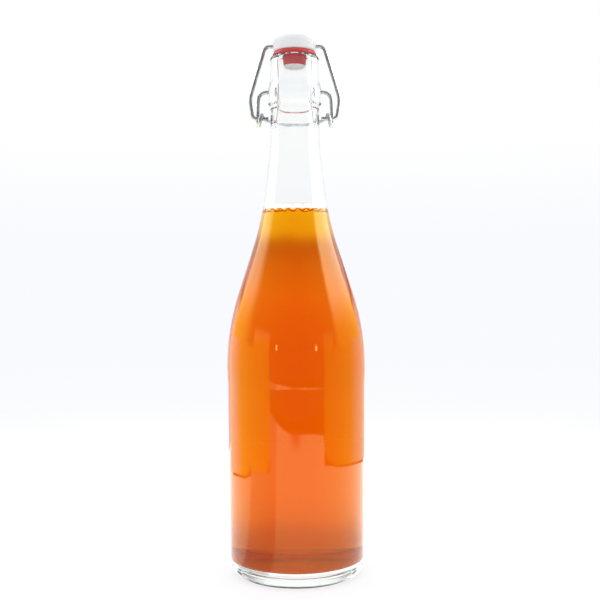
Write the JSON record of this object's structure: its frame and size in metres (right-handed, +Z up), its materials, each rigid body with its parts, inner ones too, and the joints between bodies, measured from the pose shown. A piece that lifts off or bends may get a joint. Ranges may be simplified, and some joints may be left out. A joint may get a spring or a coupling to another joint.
{
  "type": "swing top bottle",
  "caption": "Clear glass swing top bottle filled with orange drink, with a white stopper on a red gasket that a wire bail holds down and an over-centre wire lever pulls tight.",
  "frame": {"origin": "centre of the base, on the plane that the bottle stands on", "axes": "+Z up the bottle's axis, +X along the closure's pivots to the right in the picture, +Y away from the camera, to the side of the neck that the lever's handle rests on"},
  "size_m": [0.0822, 0.0822, 0.319],
  "materials": {
    "clear_glass": "polished",
    "orange_drink": "gloss",
    "white_plastic": "gloss",
    "red_rubber": "satin",
    "steel_wire": "polished"
  },
  "bodies": {
    "bottle": {"bottle": "clear_glass", "drink": "orange_drink"},
    "lever": {"lever_wire": "steel_wire"},
    "bail": {"bail_wire": "steel_wire"},
    "stopper": {"stopper": "white_plastic", "gasket": "red_rubber"}
  },
  "joints": [
    {"name": "lever_pivot", "type": "hinge", "parent": "bottle", "child": "lever", "pos_m": [0, 0, 0.2845], "axis": [1, 0, 0], "range_deg": [0, 90]},
    {"name": "bail_swing", "type": "hinge", "parent": "lever", "child": "bail", "pos_m": [0, -0.0012, 0.2686], "axis": [1, 0, 0], "range_deg": [-80, 10]},
    {"name": "stopper_swivel", "type": "hinge", "parent": "bail", "child": "stopper", "pos_m": [0, 0, 0.3116], "axis": [1, 0, 0], "range_deg": [-40, 10]}
  ],
  "couplings": [
    {"joint": "bail_swing", "follows": "lever_pivot", "ratio": -0.7},
    {"joint": "stopper_swivel", "follows": "lever_pivot", "ratio": -0.3}
  ]
}
